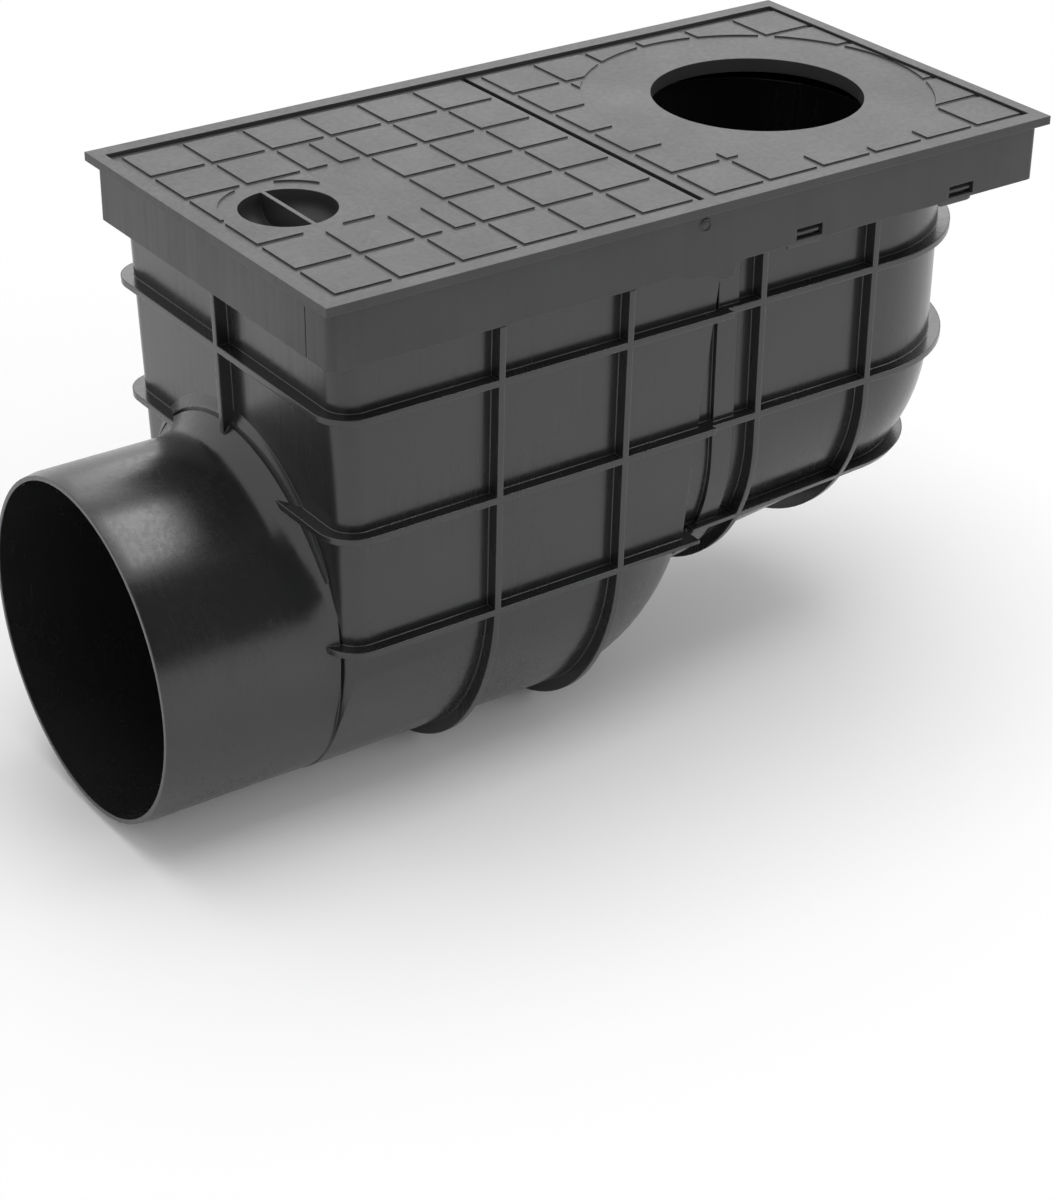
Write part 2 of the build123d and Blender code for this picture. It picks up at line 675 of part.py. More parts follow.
# Flap: hangs from its barrel just clear of the seal
with BuildPart() as odour_flap:
    with BuildSketch(Plane.YZ.offset(panel_x)):
        add(trap_outline(window_half + seat_width))
        with Locations((0, hinge_centre.Z)):
            Rectangle(2 * flap_neck_half, 3 * barrel_radius, align=(Align.CENTER, Align.MAX))
    extrude(amount=-6 * panel_thickness)
    split(bisect_by=seat_plane.offset(seal_thickness + seal_running_gap), keep=Keep.TOP)
    split(bisect_by=seat_plane.offset(seal_thickness + seal_running_gap + flap_thickness), keep=Keep.BOTTOM)
    with Locations(Location(tuple(hinge_centre), (90, 0, 0))):
        Cylinder(barrel_radius, 2 * flap_neck_half)
        Cylinder(pin_radius + pin_clearance, 3 * flap_neck_half, mode=Mode.SUBTRACT)

# Pin: headed at both ends outside the ears
with BuildPart() as flap_pin:
    with Locations(Location(tuple(hinge_centre), (90, 0, 0))):
        Cylinder(pin_radius, 2 * (ear_outer + pin_end_play))
    for side in (-1, 1):
        head_y = side * (ear_outer + pin_end_play + pin_head_thickness / 2)
        with Locations(Location((hinge_centre.X, head_y, hinge_centre.Z), (90, 0, 0))):
            Cylinder(pin_head_radius, pin_head_thickness)


def basket_plan(level, grow):
    """Plan of the basket: cut front corners, round rear corners as the chamber has."""
    front = panel_x + panel_thickness + basket_front_gap - grow
    radius = rear_corner_radius - wall - basket_side_gap + grow
    half = corner_y + radius
    rear = corner_x + radius
    turn = radius * sqrt(0.5)
    with BuildSketch(Plane.XY.offset(level)) as plan:
        with BuildLine():
            Polyline((corner_x, -half), (front, -half), (front, half), (corner_x, half))
            ThreePointArc((corner_x, half), (corner_x + turn, corner_y + turn), (rear, corner_y))
            Line((rear, corner_y), (rear, -corner_y))
            ThreePointArc((rear, -corner_y), (corner_x + turn, -corner_y - turn), (corner_x, -half))
        make_face()
        chamfer(plan.vertices().group_by(Axis.X)[0], basket_corner + grow)
    return plan.sketch


# Leaf basket: slotted bucket that hangs by its flange on the deck
basket_front_x = panel_x + panel_thickness + basket_front_gap
basket_length = rear_wall_x - wall - basket_side_gap - basket_front_x
side_slots = int((basket_length - side_slot_margin) / slot_pitch)
floor_slots = int((basket_length - 2 * first_floor_slot) / floor_slot_pitch) + 1
slot_low_z = basket_floor_z + basket_floor + slots_above_floor
slot_rows = [slot_low_z, slot_low_z + slot_height + slot_row_gap]
basket_top_z = deck_z + basket_flange_thickness
basket_height = basket_depth + basket_flange_thickness
slot_align = (Align.CENTER, Align.CENTER, Align.MIN)
with BuildPart() as leaf_basket:
    extrude(basket_plan(basket_top_z, 0), amount=-basket_height, taper=basket_draft)
    extrude(basket_plan(deck_z, basket_side_gap + basket_flange_overlap), amount=basket_flange_thickness)
    inside = basket_plan(basket_top_z, -basket_wall)
    extrude(inside, amount=basket_floor - basket_height, taper=basket_draft, mode=Mode.SUBTRACT)
    for low in slot_rows:
        for index in range(side_slots):
            with Locations((basket_front_x + 2 * slot_pitch + index * slot_pitch, 0, low)):
                Box(slot_width, 2 * rim_half, slot_height, align=slot_align, mode=Mode.SUBTRACT)
        for index in range(end_slots):
            with Locations((corner_x, (index - (end_slots - 1) / 2) * slot_pitch, low)):
                Box(rim_length / 2, slot_width, slot_height, align=slot_align, mode=Mode.SUBTRACT)
    for index in range(floor_slots):
        with Locations((basket_front_x + first_floor_slot + index * floor_slot_pitch, 0, basket_floor_z)):
            Box(slot_width, floor_slot_length, 4 * basket_floor, mode=Mode.SUBTRACT)
    with Locations(Location((handle_x, 0, handle_z), (90, 0, 0))):
        Cylinder(handle_radius + handle_play, 2 * rim_half, mode=Mode.SUBTRACT)

# Basket handle: flat bail with round pegs turned out through the basket's walls
basket_half_handle = rear_half - wall - basket_side_gap
basket_half_handle -= (handle_drop + basket_flange_thickness) * tan(radians(basket_draft))
bail_half = basket_half_handle - basket_wall - handle_side_gap - handle_strip / 2
bail_end = basket_half_handle + handle_end_reach
bail_foot = bail_half * handle_foot_share
with BuildPart() as basket_handle:
    with BuildSketch(Plane.YZ.offset(handle_x)):
        with BuildLine():
            FilletPolyline(
                (-bail_half, handle_z + handle_radius),
                (-bail_half, handle_z - handle_arch / 2),
                (-bail_foot, handle_z - handle_arch),
                (bail_foot, handle_z - handle_arch),
                (bail_half, handle_z - handle_arch / 2),
                (bail_half, handle_z + handle_radius),
                radius=handle_bend,
            )
        trace(line_width=handle_strip)
    extrude(amount=handle_thickness / 2, both=True)
    for side in (-1, 1):
        with Locations(Location((handle_x, side * (bail_half + bail_end) / 2, handle_z), (90, 0, 0))):
            Cylinder(handle_radius, bail_end - bail_half)

export_piece(gully_body, "gully_body")
export_piece(top_frame, "top_frame")
export_piece(cross_bar, "cross_bar")
export_piece(inspection_lid, "inspection_lid")
export_piece(downpipe_lid, "downpipe_lid")
export_piece(trap_frame, "trap_frame")
export_piece(flap_seal, "flap_seal")
export_piece(odour_flap, "odour_flap")
export_piece(flap_pin, "flap_pin")
export_piece(leaf_basket, "leaf_basket")
export_piece(basket_handle, "basket_handle")
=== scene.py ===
# %% [markdown]
# A rainwater gully stands in the ground under a downpipe. It is moulded from black plastic in a few large
# shells, so nearly all of its shape is in the construction model, and this lesson is about its finish: how
# a satin moulding catches soft light, and how thin edges read as bright lines. The model is loaded first,
# and its box is kept, so that the lights can aim at its middle.

# %% Load the model
import math

import bmesh
import bpy
import numpy as np
from mathutils import Matrix, Vector


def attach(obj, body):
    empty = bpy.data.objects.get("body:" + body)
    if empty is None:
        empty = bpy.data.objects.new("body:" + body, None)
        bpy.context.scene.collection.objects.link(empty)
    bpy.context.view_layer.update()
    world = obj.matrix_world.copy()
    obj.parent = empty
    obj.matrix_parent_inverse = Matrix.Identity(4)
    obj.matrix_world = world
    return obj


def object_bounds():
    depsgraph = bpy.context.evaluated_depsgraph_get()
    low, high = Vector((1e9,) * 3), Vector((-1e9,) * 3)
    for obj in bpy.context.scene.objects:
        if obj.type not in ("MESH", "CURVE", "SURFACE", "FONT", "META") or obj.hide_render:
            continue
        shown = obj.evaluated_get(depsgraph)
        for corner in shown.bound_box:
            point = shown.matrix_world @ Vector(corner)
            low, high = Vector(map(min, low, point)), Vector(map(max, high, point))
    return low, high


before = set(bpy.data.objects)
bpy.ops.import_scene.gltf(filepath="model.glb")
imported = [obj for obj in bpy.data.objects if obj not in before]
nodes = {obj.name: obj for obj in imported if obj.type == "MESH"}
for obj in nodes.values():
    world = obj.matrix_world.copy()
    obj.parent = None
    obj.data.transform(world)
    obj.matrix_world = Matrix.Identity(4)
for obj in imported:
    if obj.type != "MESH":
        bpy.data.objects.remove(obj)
cad_box = [list(corner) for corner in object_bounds()]
print("pieces:", sorted(nodes))

# %% [markdown]
# Every size below is in metres, because that is Blender's unit here, but a moulder thinks in millimetres.
# One small helper turns millimetres into metres, and one turns a colour written as on the web, which is in
# sRGB, into the linear values that the shader works in. Writing colours as hex keeps them readable.

# %% Units and colours


def mm(value):
    """A length in millimetres, as metres."""
    return value / 1000


def linear(hex_colour):
    """A hex sRGB colour as linear red, green, blue and alpha, by the sRGB curve."""
    channels = [int(hex_colour[start:start + 2], 16) / 255 for start in (1, 3, 5)]
    bent = [c / 12.92 if c <= 0.04045 else ((c + 0.055) / 1.055) ** 2.4 for c in channels]
    return (*bent, 1.0)


# %% [markdown]
# A material is a small graph. One function adds a node, sets its values and joins its inputs, so that each
# finish below reads as a list of what it is made of. Patterns read Object coordinates, because they are
# real metres on the piece: a scale is then one divided by a real size.

# %% Node helper


def add_node(tree, kind, settings=None, inputs=None):
    """Add one shader node. Inputs that are sockets are linked, and the others are set as values."""
    node = tree.nodes.new(kind)
    for name, value in (settings or {}).items():
        setattr(node, name, value)
    for name, value in (inputs or {}).items():
        if isinstance(value, bpy.types.NodeSocket):
            tree.links.new(value, node.inputs[name])
        else:
            node.inputs[name].default_value = value
    return node


def new_material(name, base, roughness, ior=None):
    """A material with its shader's even values set, with its tree and shader. A metal keeps the usual IOR."""
    material = bpy.data.materials.new(name)
    material.use_nodes = True
    tree = material.node_tree
    shader = tree.nodes["Principled BSDF"]
    shader.inputs["Base Color"].default_value = linear(base)
    shader.inputs["Roughness"].default_value = roughness
    if ior is not None:
        shader.inputs["IOR"].default_value = ior
    return material, tree, shader


# %% [markdown]
# The gully is polypropylene coloured with carbon black, injected into a polished steel mould. The skin
# copies the mould: smooth over a hand's width, with faint waves where the melt cooled unevenly, upright
# drag marks from the draw out of the mould, and a very fine grain. The gloss comes first. A wide noise and
# one stretched upright are added up, and their sum varies the roughness a little, so that a reflection
# breaks up as it does on the real skin.

# %% Gloss of the moulded skin
drag_width_mm, drag_length_mm = 2.5, 70
glossier, duller = 0.05, 0.07


def skin_gloss(tree, place, cloud, roughness):
    """Roughness from the wide noise plus a noise stretched upright, spread round the even value."""
    drag_place = add_node(
        tree, "ShaderNodeMapping",
        inputs={
            "Vector": place,
            "Scale": (1 / mm(drag_width_mm), 1 / mm(drag_width_mm), 1 / mm(drag_length_mm)),
        },
    )
    drag = add_node(
        tree, "ShaderNodeTexNoise",
        inputs={"Vector": drag_place.outputs["Vector"], "Scale": 1.0, "Detail": 2.0, "Roughness": 0.6},
    )
    blend = add_node(
        tree, "ShaderNodeMath", settings={"operation": "ADD"},
        inputs={0: cloud.outputs["Fac"], 1: drag.outputs["Fac"]},
    )
    rough = add_node(
        tree, "ShaderNodeMapRange",
        inputs={
            "Value": blend.outputs["Value"], "From Min": 0.7, "From Max": 1.3,
            "To Min": roughness - glossier, "To Max": roughness + duller,
        },
    )
    return rough.outputs["Result"]


# %% [markdown]
# Edges get a small radius from the Bevel node, since a moulded edge is never razor sharp and its radius is
# what shows as a bright line. The same node tells how far a point is turned from its flat face, and where
# it is turned, a painted highlight makes the edge's colour slightly paler. The wide noise then mottles the
# colour, nearly without a tint.

# %% Colour of the moulded skin
# How strongly the painted edge highlight pales an edge, and how strong the mottle is.
edge_highlight_share = 0.75
mottle_share, mottle_colour = 0.35, 0.15


def skin_colour(tree, edge, cloud, base, highlight_colour):
    """The base colour, mixed to a paler painted edge highlight where the rounded normal leaves the flat one,
    then mottled.
    """
    flat = add_node(tree, "ShaderNodeNewGeometry")
    turned = add_node(
        tree, "ShaderNodeVectorMath", settings={"operation": "DOT_PRODUCT"},
        inputs={0: edge.outputs["Normal"], 1: flat.outputs["Normal"]},
    )
    # Painted highlight: where the rounded normal turns from the flat one, the colour is mixed towards the
    # paler one.
    painted_edge_highlight = add_node(
        tree, "ShaderNodeMapRange",
        inputs={
            "Value": turned.outputs["Value"], "From Min": 0.80, "From Max": 0.99,
            "To Min": edge_highlight_share, "To Max": 0.0,
        },
    )
    highlighted_colour = add_node(
        tree, "ShaderNodeMix", settings={"data_type": "RGBA"},
        inputs={"Factor": painted_edge_highlight.outputs["Result"], "A": linear(base), "B": linear(highlight_colour)},
    )
    mottle = add_node(
        tree, "ShaderNodeMix", settings={"data_type": "RGBA", "blend_type": "SOFT_LIGHT"},
        inputs={"Factor": mottle_share, "A": highlighted_colour.outputs["Result"], "B": cloud.outputs["Color"]},
    )
    grey_mottle = add_node(
        tree, "ShaderNodeHueSaturation",
        inputs={"Saturation": mottle_colour, "Color": mottle.outputs["Result"]},
    )
    return grey_mottle.outputs["Color"]


# %% [markdown]
# Two bumps lie over the rounded edge: the waves, from the wide noise, and the grain, from a fine one. The
# real grain is too fine to show from here, so it is drawn coarser, at nearly a millimetre.

# %% Relief of the moulded skin


def skin_relief(tree, place, edge, cloud, wave_depth_mm, grain_mm, grain_depth_mm):
    """The rounded normal, bent first by the waves and then by the grain, each by its depth in millimetres."""
    wave = add_node(
        tree, "ShaderNodeBump",
        inputs={
            "Height": cloud.outputs["Fac"], "Distance": mm(wave_depth_mm), "Strength": 1.0,
            "Normal": edge.outputs["Normal"],
        },
    )
    grain = add_node(
        tree, "ShaderNodeTexNoise",
        inputs={"Vector": place, "Scale": 1 / mm(grain_mm), "Detail": 1.0, "Roughness": 0.5},
    )
    skin = add_node(
        tree, "ShaderNodeBump",
        inputs={
            "Height": grain.outputs["Fac"], "Distance": mm(grain_depth_mm), "Strength": 1.0,
            "Normal": wave.outputs["Normal"],
        },
    )
    return skin.outputs["Normal"]


# %% [markdown]
# Body and lids are the same plastic from two kinds of mould, so one function makes both finishes, and they
# differ only in numbers. The body left a polished mould: to the eye it is nearly black and mirrors the
# studio softly. The frame and lids left an etched one: they are paler and turn a mirrored light into a
# sheen.

# %% Moulded plastic
cloud_mm = 45


def moulded_plastic(name, base, highlight_colour, roughness, ior, grain_mm, grain_depth_mm, wave_depth_mm, edge_mm):
    """Satin moulded plastic: base colour and painted edge highlight colour, gloss, grain size and depth, wave
    depth, edge radius.
    """
    material, tree, shader = new_material(name, base, roughness, ior)
    place = add_node(tree, "ShaderNodeTexCoord").outputs["Object"]
    cloud = add_node(
        tree, "ShaderNodeTexNoise",
        inputs={"Vector": place, "Scale": 1 / mm(cloud_mm), "Detail": 3.0, "Roughness": 0.55},
    )
    edge = add_node(tree, "ShaderNodeBevel", settings={"samples": 6}, inputs={"Radius": mm(edge_mm)})
    gloss = skin_gloss(tree, place, cloud, roughness)
    colour = skin_colour(tree, edge, cloud, base, highlight_colour)
    relief = skin_relief(tree, place, edge, cloud, wave_depth_mm, grain_mm, grain_depth_mm)
    tree.links.new(gloss, shader.inputs["Roughness"])
    tree.links.new(colour, shader.inputs["Base Color"])
    tree.links.new(relief, shader.inputs["Normal"])
    return material


# The second colour of each finish is the painted highlight on its edges.
body_finish = moulded_plastic(
    "black_moulded_polypropylene", base="#1f2022", highlight_colour="#4a4b4e", roughness=0.23, ior=1.62,
    grain_mm=0.9, grain_depth_mm=0.006, wave_depth_mm=0.12, edge_mm=0.9,
)
lid_finish = moulded_plastic(
    "anthracite_textured_polypropylene", base="#303133", highlight_colour="#58595d", roughness=0.44, ior=1.5,
    grain_mm=0.8, grain_depth_mm=0.035, wave_depth_mm=0.10, edge_mm=0.5,
)
print("plastics:", body_finish.name, "and", lid_finish.name)

# %% [markdown]
# Rubber is duller than the plastic round it and has no polished skin: it comes from the mould slightly
# matte, and a fine bump is enough to spread its reflections.

# %% Rubber
rubber_grain_mm, rubber_depth_mm = 0.8, 0.05
rubber_finish, rubber_tree, rubber_shader = new_material("black_moulded_rubber", "#1a1a1a", 0.75, 1.52)
rubber_grain = add_node(
    rubber_tree, "ShaderNodeTexNoise",
    inputs={
        "Vector": add_node(rubber_tree, "ShaderNodeTexCoord").outputs["Object"],
        "Scale": 1 / mm(rubber_grain_mm), "Detail": 2.0,
    },
)
rubber_bump = add_node(
    rubber_tree, "ShaderNodeBump",
    inputs={"Height": rubber_grain.outputs["Fac"], "Distance": mm(rubber_depth_mm), "Strength": 1.0},
)
rubber_tree.links.new(rubber_bump.outputs["Normal"], rubber_shader.inputs["Normal"])
print("rubber:", rubber_finish.name)

# %% [markdown]
# The flap's pin is drawn stainless wire. Drawing leaves fine lines along the wire, so the noise is
# stretched along Y, the pin's own length.

# %% Stainless wire
line_width_mm, line_length_mm = 0.3, 20
steel_finish, steel_tree, steel_shader = new_material("drawn_stainless_wire", "#b9bbbd", 0.32)
steel_shader.inputs["Metallic"].default_value = 1.0
steel_place = add_node(
    steel_tree, "ShaderNodeMapping",
    inputs={
        "Vector": add_node(steel_tree, "ShaderNodeTexCoord").outputs["Object"],
        "Scale": (1 / mm(line_width_mm), 1 / mm(line_length_mm), 1 / mm(line_width_mm)),
    },
)
steel_lines = add_node(
    steel_tree, "ShaderNodeTexNoise",
    inputs={"Vector": steel_place.outputs["Vector"], "Scale": 1.0, "Detail": 2.0},
)
steel_rough = add_node(
    steel_tree, "ShaderNodeMapRange",
    inputs={"Value": steel_lines.outputs["Fac"], "To Min": 0.25, "To Max": 0.42},
)
steel_tree.links.new(steel_rough.outputs["Result"], steel_shader.inputs["Roughness"])
print("metal:", steel_finish.name)

# %% [markdown]
# The model's pieces arrive as loose triangles, which shade like cut glass. Welding their corners and then
# splitting only the edges sharper than a limit gives smooth rounds and crisp steps, and leaves the shape
# alone.

# %% Dress the pieces
finishes = {
    "gully_body": body_finish,
    "top_frame": lid_finish,
    "cross_bar": lid_finish,
    "inspection_lid": lid_finish,
    "downpipe_lid": lid_finish,
    "trap_frame": body_finish,
    "flap_seal": rubber_finish,
    "odour_flap": body_finish,
    "flap_pin": steel_finish,
    "leaf_basket": body_finish,
    "basket_handle": body_finish,
}


def dress(piece, finish, sharp_degrees=28):
    """Give a model piece its finish and smooth every edge flatter than the limit."""
    piece.data.materials.clear()
    piece.data.materials.append(finish)
    piece.data.polygons.foreach_set("use_smooth", np.ones(len(piece.data.polygons), dtype=bool))
    weld = piece.modifiers.new("weld_corners", "WELD")
    weld.merge_threshold = mm(0.002)
    split = piece.modifiers.new("split_sharp_edges", "EDGE_SPLIT")
    split.split_angle = math.radians(sharp_degrees)


for name, finish in finishes.items():
    dress(nodes[name], finish)
print("dressed", len(finishes), "pieces")

# %% [markdown]
# A few small forms are added to the model's pieces. Each is a grid of rings: a closed outline, repeated
# along a path. One function joins the rings with quads and closes the ends, so that every piece is a closed
# skin.

# %% Rings to a mesh


def ring_quads(rings, around, loop):
    """Corner numbers of the quads between neighbouring rings, as whole arrays. A loop joins last to first."""
    ring = np.arange(rings if loop else rings - 1)[:, None]
    point = np.arange(around)[None, :]
    after = (ring + 1) % rings
    beside = (point + 1) % around
    corners = (ring * around + point, ring * around + beside, after * around + beside, after * around + point)
    return np.stack(corners, axis=-1).reshape(-1, 4)


def ringed_piece(name, grids, loop, finish, body):
    """A piece from grids of rings, each an array of rings by points by X, Y, Z in millimetres."""
    faces = []
    start = 0
    for grid in grids:
        rings, around = grid.shape[:2]
        faces += (ring_quads(rings, around, loop) + start).tolist()
        if not loop:
            faces.append(list(range(start, start + around)))
            faces.append(list(range(start + (rings - 1) * around, start + rings * around)))
        start += rings * around
    corners = np.concatenate([grid.reshape(-1, 3) for grid in grids])
    mesh = bpy.data.meshes.new(name)
    mesh.from_pydata(mm(corners).tolist(), [], faces)
    skin = bmesh.new()
    skin.from_mesh(mesh)
    bmesh.ops.recalc_face_normals(skin, faces=skin.faces)
    skin.to_mesh(mesh)
    skin.free()
    piece = bpy.data.objects.new(name, mesh)
    bpy.context.scene.collection.objects.link(piece)
    dress(piece, finish, sharp_degrees=40)
    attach(piece, body)
    print(name, len(mesh.polygons), "faces")


# %% [markdown]
# Where the spigot's flare meets the end wall, the mould has a small hollow radius. The flare is an ellipse
# that grows towards the wall, so the radius is worked out along that ellipse: at each angle, a quarter
# circle bends from the flare to the wall. The wall leans outward as it rises, and the start of the quarter
# circle follows it.

# %% Hollow radius round the flare
end_wall_x = -145.76
wall_lean = math.tan(math.radians(1.4))
lowest_rib_z = 98.0
spigot_z, spigot_radius = 83.5, 79.4
flare_rise, flare_drop, flare_spread = 18.0, 0.6, 3.6
flare_length, flare_bend = 20.0, 0.2
radius_rings = 100
radius_sunk = 0.8


def flare_size(ahead_of_wall):
    """Half width, half height and centre height of the flare, by a square law of the distance to the wall.

    The law's share is one at the wall, flare_bend half way along and zero at the flare's end.
    """
    along = ahead_of_wall / flare_length
    share = 1 + (4 * flare_bend - 3) * along + (2 - 4 * flare_bend) * along ** 2
    top = spigot_radius + flare_rise * share
    low = spigot_radius - flare_drop * share
    return spigot_radius + flare_spread * share, (top + low) / 2, spigot_z + (top - low) / 2


def flare_radius_rings(size):
    """Rings along the ellipse: a quarter circle of the given size, closed by one corner sunk in the wall.

    The size swells from both ends of the ellipse by a small power of a sine. The ellipse is first taken 2 mm
    ahead of the wall, to find how far the leaning wall stands forward at each angle.
    """
    angle = np.radians(np.linspace(24, 156, radius_rings))[:, None]
    taper = size * np.sin(np.linspace(0.02, np.pi - 0.02, radius_rings))[:, None] ** 0.3
    height, middle_z = flare_size(2.0)[1:]
    wall_ahead = (middle_z + height * np.sin(angle) - lowest_rib_z) * wall_lean
    bend = np.linspace(0, np.pi / 2, 10)[None, :]
    ahead_of_wall = wall_ahead + taper * (1 - np.sin(bend))
    outward = taper * (1 - np.cos(bend)) - 0.1
    ahead_of_wall = np.concatenate([ahead_of_wall, wall_ahead - radius_sunk], axis=1)
    outward = np.concatenate([outward, np.full((radius_rings, 1), -radius_sunk)], axis=1)
    side, height, middle_z = flare_size(ahead_of_wall)
    away = np.hypot(np.cos(angle) / side, np.sin(angle) / height)
    y = side * np.cos(angle) + outward * np.cos(angle) / side / away
    z = middle_z + height * np.sin(angle) + outward * np.sin(angle) / height / away
    return np.stack([end_wall_x - ahead_of_wall, y, z], axis=-1)


ringed_piece("flare_radius", [flare_radius_rings(3.0)], False, body_finish, "gully")

# %% [markdown]
# Behind each window in the frame's skirt, the body has a springy tongue that the frame snaps over. It is a
# bar with a rounded section that thins downward, and its ends are rounded too, because a mould can't hold
# sharp ones.

# %% Snap tongues
window_x = (82.75, 172.25)
window_length = 14.8
collar_y = 95.6
deck_low_z = 238.0
past_window = 2.0
tongue_middle_y, tongue_middle_z = collar_y - 1.0, deck_low_z - 2.9
tongue_half_thick, tongue_half_height = 0.95, 3.2
tongue_corner_power = 0.45
end_draw = 0.18


def squared_off(wave, power):
    """A sine or cosine to a power, with its sign kept. A small power turns a circle into a rounded box."""
    return np.sign(wave) * np.abs(wave) ** power


def tongue_rings(start, side):
    """Rounded box section by powers of sine and cosine, thinner below and drawn in at both ends."""
    along = np.linspace(0, 1, 25)[:, None]
    turn = np.linspace(0, 2 * np.pi, 32, endpoint=False)[None, :]
    drawn_in = 1 - end_draw * np.abs(2 * along - 1) ** 14
    across = squared_off(np.cos(turn), tongue_corner_power)
    upward = squared_off(np.sin(turn), tongue_corner_power)
    x = start - past_window + (window_length + 2 * past_window) * along + 0 * turn
    y = side * (tongue_middle_y + tongue_half_thick * drawn_in * across * (0.8 + 0.2 * upward))
    z = tongue_middle_z + tongue_half_height * drawn_in * upward
    return np.stack([x, y, z], axis=-1)


tongues = [tongue_rings(start, side) for start in window_x for side in (-1, 1)]
ringed_piece("snap_tongues", tongues, False, body_finish, "gully")

# %% [markdown]
# The cross bar's pegs end in the skirt. Each end is headed over: a shallow dome inside a raised ring. That
# is a turned shape, so its height is a function of the distance from the peg's axis, carried round the
# axis.

# %% Peg heads
peg_x, peg_z, skirt_y = 31.35, 256.3, 98.49
head_radius = 3.3
dome_radius, dome_height = 1.9, 0.45
ring_radius, ring_half_width, ring_height = 2.75, 0.55, 0.6
head_sunk = 0.5


def peg_head_rings(side):
    """Height over the skirt by radius: half an ellipse for the dome, then a squared cosine for the ring."""
    radius = np.concatenate([np.linspace(0.15, head_radius, 40), [head_radius]])[:, None]
    turn = np.linspace(0, 2 * np.pi, 48, endpoint=False)[None, :]
    dome = dome_height * np.sqrt(np.clip(1 - (radius / dome_radius) ** 2, 0, 1))
    from_ring = np.clip((radius - ring_radius) / ring_half_width, -1, 1)
    height = dome + ring_height * np.cos(from_ring * np.pi / 2) ** 2
    height[-1] = -head_sunk
    x = peg_x + radius * np.cos(turn)
    y = side * (skirt_y + height + 0 * turn)
    z = peg_z + radius * np.sin(turn)
    return np.stack([x, y, z], axis=-1)


heads = [peg_head_rings(side) for side in (-1, 1)]
ringed_piece("peg_heads", heads, False, lid_finish, "gully")

# %% [markdown]
# A thin flap that has to stay flat is stiffened by a bead on its face. The bead follows the window's
# outline: a half circle below, and above it a box with round corners. It lies on the flap's leaning face
# and swings with it.

# %% Flap bead
lean = math.radians(5.8)
seat_x, seat_z = 42.75, 197.0
flap_face = 5.25
window_middle_z = 138.76
bead_half_width, bead_height, bead_sunk = 1.8, 1.3, 0.4
bead_corner_power = 0.3
bead_sizes = ((60.0, 64.0), (34.0, 38.0))


def bead_path(half, rise):
    """Outline on the flap's face: a circle for the lower half and a rounded box by small powers above it."""
    turn = np.linspace(0, 2 * np.pi, 200, endpoint=False)
    below = np.sin(turn) < 0
    power = np.where(below, 1.0, bead_corner_power)
    y = half * squared_off(np.cos(turn), power)
    z = window_middle_z + np.where(below, half, rise) * squared_off(np.sin(turn), power)
    x = seat_x + (z - seat_z) * math.tan(lean) - flap_face / math.cos(lean)
    return np.stack([x, y, z], axis=-1)


def bead_rings(path):
    """A low bead along a closed path: half an ellipse above the face, and a flatter half sunk in it."""
    out = np.array([-math.cos(lean), 0.0, math.sin(lean)])
    along = np.roll(path, -1, axis=0) - np.roll(path, 1, axis=0)
    across = np.cross(np.broadcast_to(out, along.shape), along)
    across /= np.linalg.norm(across, axis=1, keepdims=True)
    turn = np.linspace(0, 2 * np.pi, 16, endpoint=False)
    rise = np.where(np.sin(turn) > 0, bead_height, bead_sunk) * np.sin(turn)
    wide = bead_half_width * np.cos(turn)
    return path[:, None, :] + across[:, None, :] * wide[None, :, None] + out * rise[None, :, None]


beads = [bead_rings(bead_path(half, rise)) for half, rise in bead_sizes]
ringed_piece("flap_beads", beads, True, body_finish, "flap")

# %% [markdown]
# The studio is a floor, a card and the air. Two helpers make them. The first tells a look from plain light:
# the Light Path node gives one for a ray from the camera, from a reflection or through something clear. The
# second makes one flat face.

# %% Studio helpers


def seen_directly(tree):
    """One where the camera, a reflection or a view through something clear looks, zero for plain light."""
    path = add_node(tree, "ShaderNodeLightPath")
    seen = add_node(
        tree, "ShaderNodeMath", settings={"operation": "MAXIMUM"},
        inputs={0: path.outputs["Is Camera Ray"], 1: path.outputs["Is Glossy Ray"]},
    )
    seen_all = add_node(
        tree, "ShaderNodeMath", settings={"operation": "MAXIMUM"},
        inputs={0: seen.outputs["Value"], 1: path.outputs["Is Transmission Ray"]},
    )
    return seen_all.outputs["Value"]


def flat_sheet(name, corners, finish):
    """One flat face with its finish, for the studio round the gully."""
    mesh = bpy.data.meshes.new(name)
    mesh.from_pydata(corners, [], [(0, 1, 2, 3)])
    mesh.materials.append(finish)
    sheet = bpy.data.objects.new(name, mesh)
    bpy.context.scene.collection.objects.link(sheet)
    return sheet


# %% [markdown]
# The photograph was taken on white. The floor is white paper, and a share of plain white is mixed in where
# the camera or a reflection sees it. The share is small round the gully, so that its shadow is kept, and
# grows with the distance until all is plain white, so that the paper has no far edge.

# %% Paper floor
floor_reach = 12.0
shadow_keeps_to, all_white_from = mm(220), mm(700)
floor_corners = [(x * floor_reach, y * floor_reach, 0.0) for x, y in ((-1, -1), (1, -1), (1, 1), (-1, 1))]
floor_finish, floor_tree, floor_shader = new_material("white_paper", "#fbfbfb", 0.9, 1.45)
floor = flat_sheet("studio_floor", floor_corners, floor_finish)
floor_place = add_node(floor_tree, "ShaderNodeTexCoord").outputs["Object"]
floor_away = add_node(
    floor_tree, "ShaderNodeVectorMath", settings={"operation": "LENGTH"}, inputs={0: floor_place}
)
floor_far = add_node(
    floor_tree, "ShaderNodeMapRange",
    inputs={
        "Value": floor_away.outputs["Value"], "From Min": shadow_keeps_to, "From Max": all_white_from,
        "To Min": 0.04, "To Max": 1.0,
    },
)
floor_share = add_node(
    floor_tree, "ShaderNodeMath", settings={"operation": "MULTIPLY"},
    inputs={0: seen_directly(floor_tree), 1: floor_far.outputs["Result"]},
)
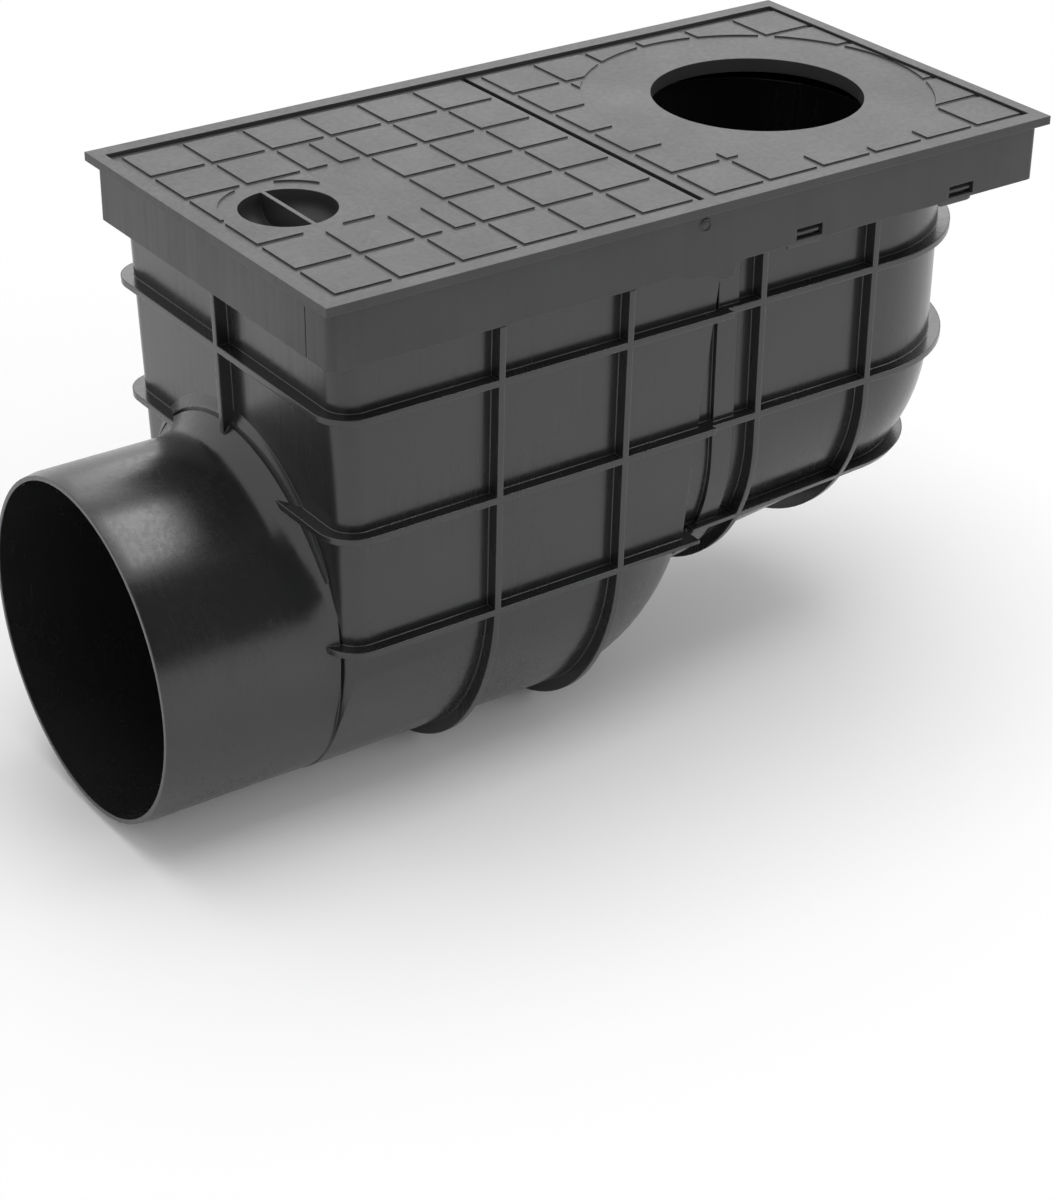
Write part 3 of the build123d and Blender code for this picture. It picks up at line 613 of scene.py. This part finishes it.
floor_white = add_node(floor_tree, "ShaderNodeEmission", inputs={"Color": (1, 1, 1, 1), "Strength": 1.0})
floor_mix = add_node(
    floor_tree, "ShaderNodeMixShader",
    inputs={
        0: floor_share.outputs["Value"],
        1: floor_shader.outputs["BSDF"],
        2: floor_white.outputs["Emission"],
    },
)
floor_tree.links.new(floor_mix.outputs["Shader"], floor_tree.nodes["Material Output"].inputs["Surface"])
print("floor:", 2 * floor_reach, "m wide")

# %% [markdown]
# Black plastic shows its lights more than its colour. One softbox overhead draws the bright stripe along
# the spigot, and a lit card behind mirrors in the lids and gives them their even sheen. These two are only
# seen in reflections. A wide pale ceiling and the room light the whole scene at a plain level, at which a
# colour shows about as it is written. The ceiling and a weak light in front don't mirror in the plastic.

# %% Lights
world = bpy.data.worlds.new("studio_air")
bpy.context.scene.world = world
world.use_nodes = True
world_tree = world.node_tree
world_tree.nodes.clear()
plain = add_node(world_tree, "ShaderNodeBackground", inputs={"Color": (1, 1, 1, 1), "Strength": 0.58})
white = add_node(world_tree, "ShaderNodeBackground", inputs={"Color": (1, 1, 1, 1), "Strength": 1.0})
choice = add_node(
    world_tree, "ShaderNodeMixShader",
    inputs={0: seen_directly(world_tree), 1: plain.outputs["Background"], 2: white.outputs["Background"]},
)
add_node(world_tree, "ShaderNodeOutputWorld", inputs={"Surface": choice.outputs["Shader"]})


def soft_light(name, place, aim, size, power):
    """A square soft light at a place, turned to face its aim."""
    lamp = bpy.data.lights.new(name, "AREA")
    lamp.shape = "SQUARE"
    lamp.size = size
    lamp.energy = power
    holder = bpy.data.objects.new(name, lamp)
    holder.location = place
    holder.rotation_euler = (Vector(aim) - Vector(place)).to_track_quat("-Z", "Y").to_euler()
    bpy.context.scene.collection.objects.link(holder)
    return holder


middle = (Vector(cad_box[0]) + Vector(cad_box[1])) / 2
softbox = soft_light("overhead_softbox", (1.6, 0.0, 3.0), middle, 2.4, 92)
softbox.visible_diffuse = False
ceiling = soft_light("ceiling", (0.35, 0.0, 4.0), middle, 4.0, 92)
ceiling.visible_glossy = False
front_fill = soft_light("front_fill", (0.8, -2.0, 1.0), middle, 1.2, 8)
front_fill.visible_glossy = False
rear_card = soft_light("rear_card", (1.0, 1.45, 1.35), middle, 1.5, 9)
rear_card.visible_diffuse = False
print("lights:", len(bpy.data.lights))

# %% [markdown]
# Photographers of black plastic also hang black cards, so that the sides facing the camera have something
# dark to mirror. One stands in front, above the floor. It only shows in reflections.

# %% Black card
card_corners = [(-1.6, -1.7, 0.3), (3.4, -1.7, 0.3), (3.4, -1.2, 2.4), (-1.6, -1.2, 2.4)]
card_finish = new_material("black_felt", "#050505", 1.0, 1.45)[0]
card = flat_sheet("black_card", card_corners, card_finish)
card.visible_camera = False
card.visible_diffuse = False
card.visible_shadow = False
print("card:", card.name)

# %% [markdown]
# The camera stands where the photographer's stood. Its place and its angles were measured from the lid's
# corners and the spigot's rim, and the lens is long, as it is for product pictures.

# %% Camera
camera_place = Vector((mm(-668.1), mm(-961.0), mm(709.1)))
camera_azimuth = math.radians(35.18)
camera_elevation = math.radians(29.92)
camera_roll = math.radians(0.52)
camera_lens = 83.67

ahead = Vector(
    (
        math.cos(camera_elevation) * math.sin(camera_azimuth),
        math.cos(camera_elevation) * math.cos(camera_azimuth),
        -math.sin(camera_elevation),
    )
)
level_right = ahead.cross(Vector((0, 0, 1))).normalized()
level_up = level_right.cross(ahead)
right = level_right * math.cos(camera_roll) + level_up * math.sin(camera_roll)
up = right.cross(ahead)
camera_data = bpy.data.cameras.new("camera")
camera_data.lens = camera_lens
camera_data.sensor_width = 36.0
camera_data.clip_end = 50.0
camera = bpy.data.objects.new("camera", camera_data)
camera.matrix_world = Matrix.Translation(camera_place) @ Matrix((right, up, -ahead)).transposed().to_4x4()
bpy.context.scene.collection.objects.link(camera)
bpy.context.scene.camera = camera
bpy.context.scene.view_settings.view_transform = "Standard"
print("camera lens:", camera_lens, "mm")

# %% [markdown] Last: the added forms lie inside the model's own box.
